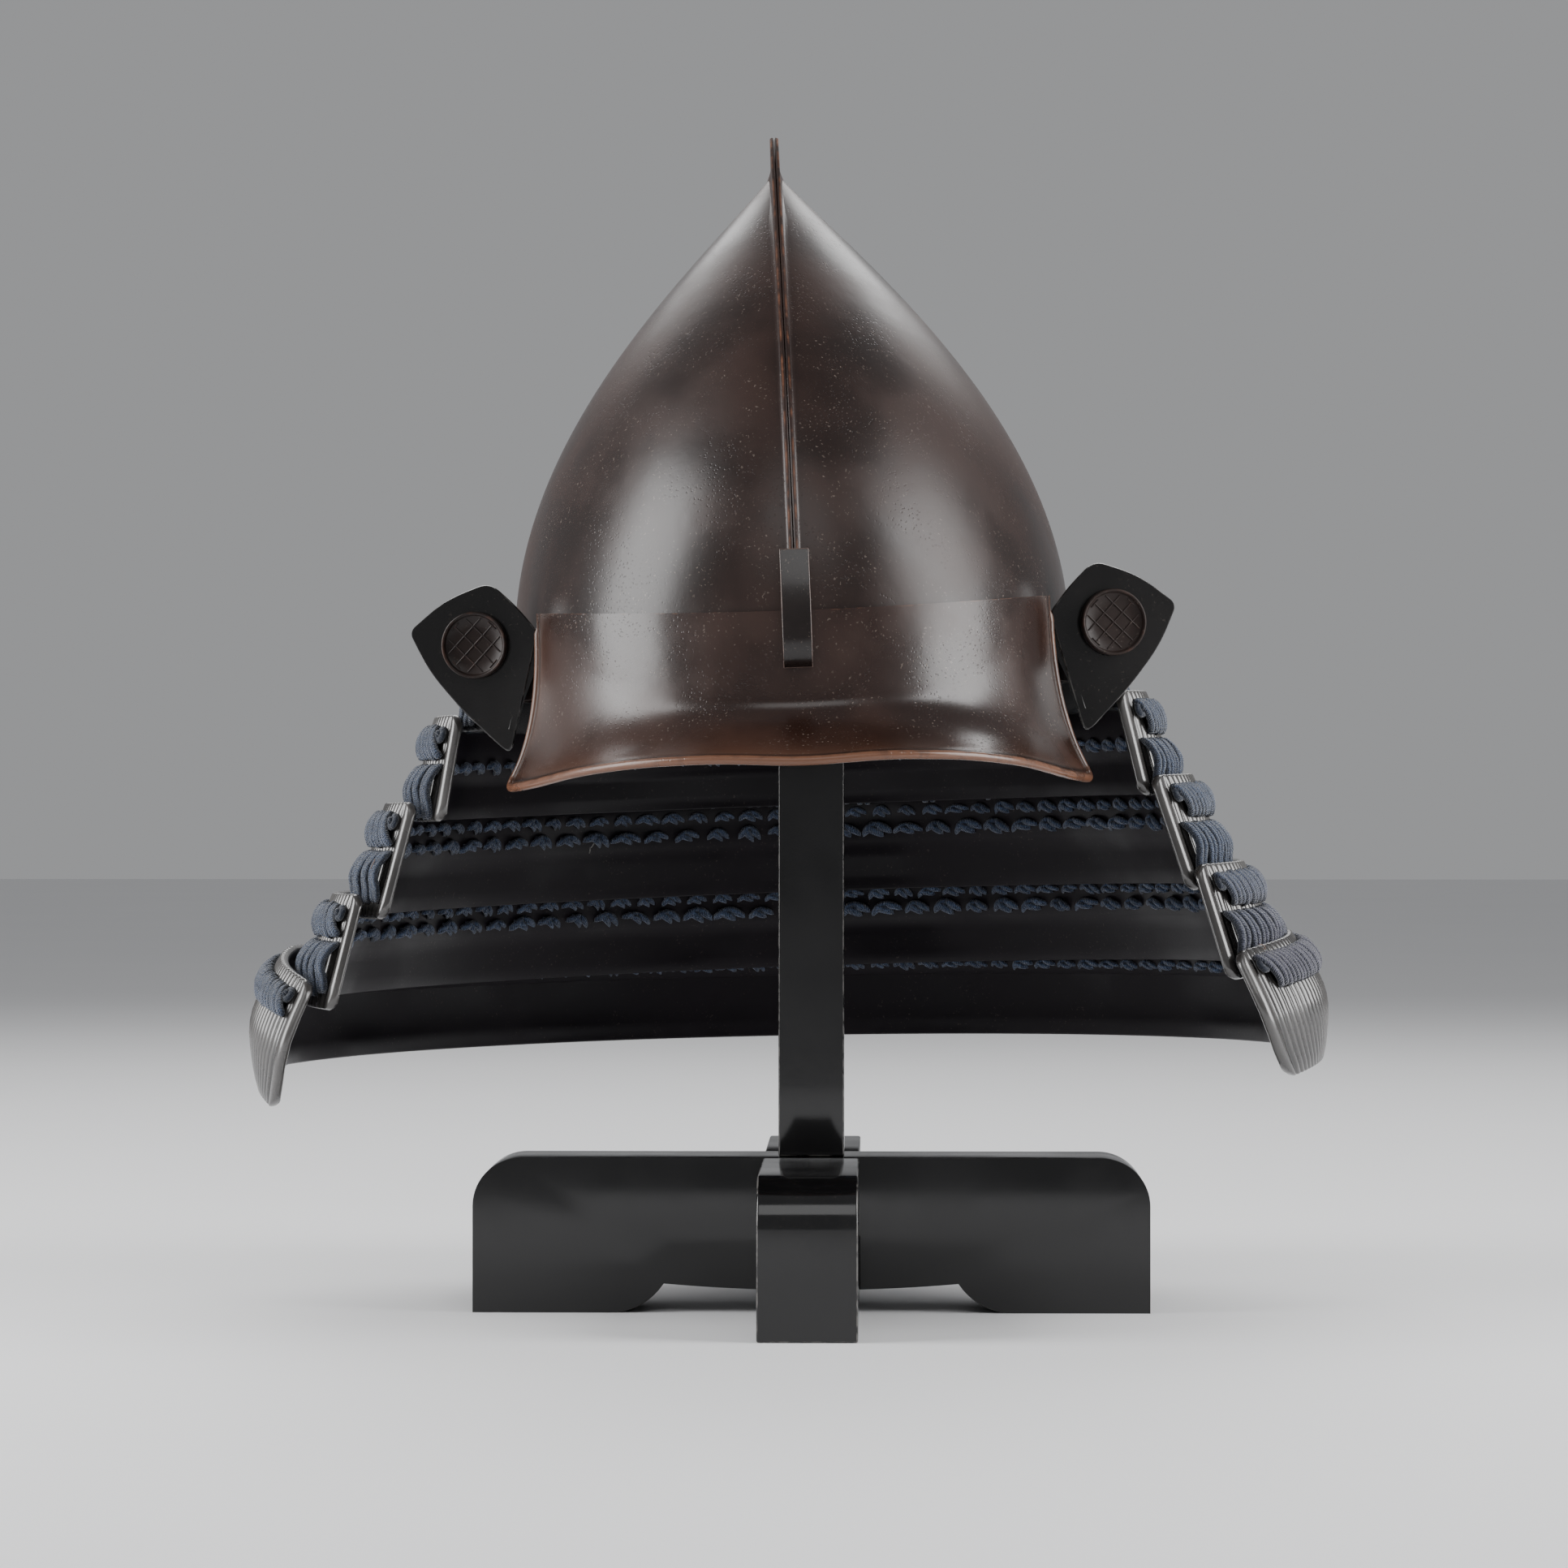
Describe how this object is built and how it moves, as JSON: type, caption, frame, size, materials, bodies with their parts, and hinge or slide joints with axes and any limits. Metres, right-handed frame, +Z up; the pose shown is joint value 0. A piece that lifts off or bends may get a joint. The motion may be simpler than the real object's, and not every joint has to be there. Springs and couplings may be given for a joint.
{
  "type": "kabuto helmet on stand",
  "caption": "Peach-pointed samurai helmet with peak, crest socket, turnbacks and a laced neck guard, on a plain lacquered stand.",
  "frame": {"origin": "on the floor under the middle of the post, on the underside of the front-to-back foot board", "axes": "+Z up, the helmet's front faces -Y, +X is on the right of someone who looks at its front"},
  "size_m": [0.4271, 0.3645, 0.4664],
  "materials": {
    "brown_lacquer": "reddish-brown gloss lacquer over iron, pitted and worn along the edges",
    "black_lacquer": "black gloss lacquer over iron with thin bright edges",
    "badge_lacquer": "brown lacquer with a worn raised ring",
    "lame_lacquer": "dark grey-brown ribbed lacquer outside, black lacquer inside",
    "indigo_lacing": "braided indigo silk cord, faded in places",
    "stand_lacquer": "black gloss lacquered wood with slightly worn edges"
  },
  "bodies": {
    "root": {"bowl_half_left": "brown_lacquer", "bowl_half_right": "brown_lacquer", "waist_band": "brown_lacquer", "peak": "brown_lacquer", "crest_holder": "brown_lacquer", "top_lame": "black_lacquer", "badge_left": "badge_lacquer", "badge_right": "badge_lacquer", "lame_1": "lame_lacquer", "lame_2": "lame_lacquer", "lame_3": "lame_lacquer", "lame_4": "lame_lacquer", "lacing_low_0": "indigo_lacing", "lacing_low_1": "indigo_lacing", "lacing_low_2": "indigo_lacing", "lacing_low_3": "indigo_lacing", "lacing_up_1": "indigo_lacing", "lacing_up_2": "indigo_lacing", "lacing_up_3": "indigo_lacing", "lacing_up_4": "indigo_lacing", "base_board_side": "stand_lacquer", "base_board_front": "stand_lacquer", "post": "stand_lacquer", "post_head": "stand_lacquer"}
  },
  "joints": []
}
